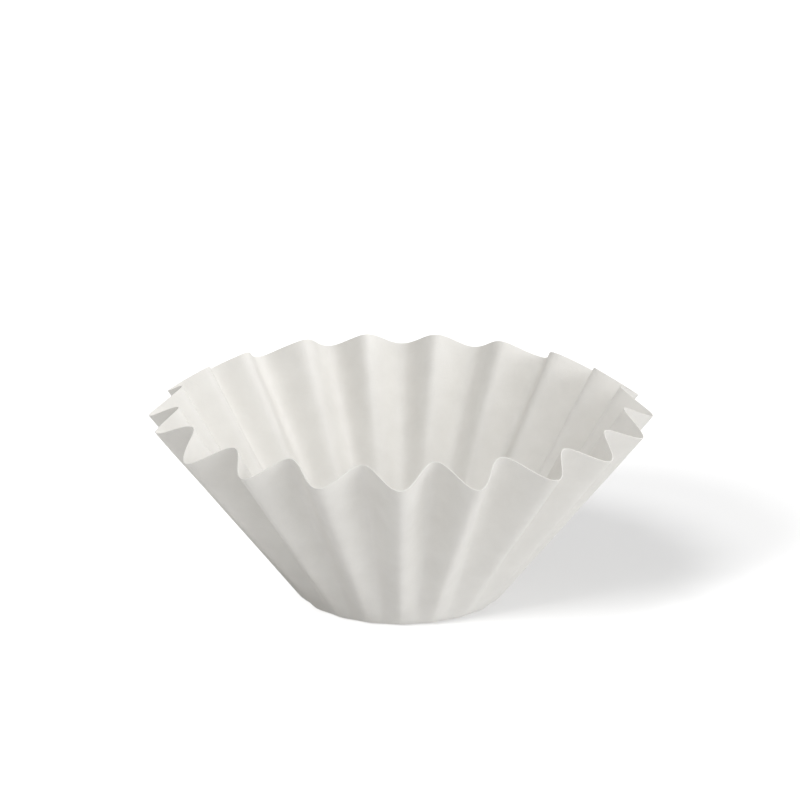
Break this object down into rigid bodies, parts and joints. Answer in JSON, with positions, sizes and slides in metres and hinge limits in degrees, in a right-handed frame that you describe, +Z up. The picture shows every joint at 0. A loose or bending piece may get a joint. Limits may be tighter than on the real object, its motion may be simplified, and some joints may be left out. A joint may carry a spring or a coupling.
{
  "type": "paper coffee filter",
  "caption": "Flat-bottomed cup of thin white paper whose flaring wall is pressed into flutes that deepen towards a wavy rim.",
  "frame": {"origin": "middle of the underside of the flat bottom, on the table", "axes": "+Z up along the axis of the cup, -Y towards an outer fold"},
  "size_m": [0.137, 0.137, 0.0559],
  "materials": {
    "filter_paper": "matt soft white fibrous paper, faintly creped"
  },
  "bodies": {
    "root": {"filter_paper": "filter_paper"}
  },
  "joints": []
}
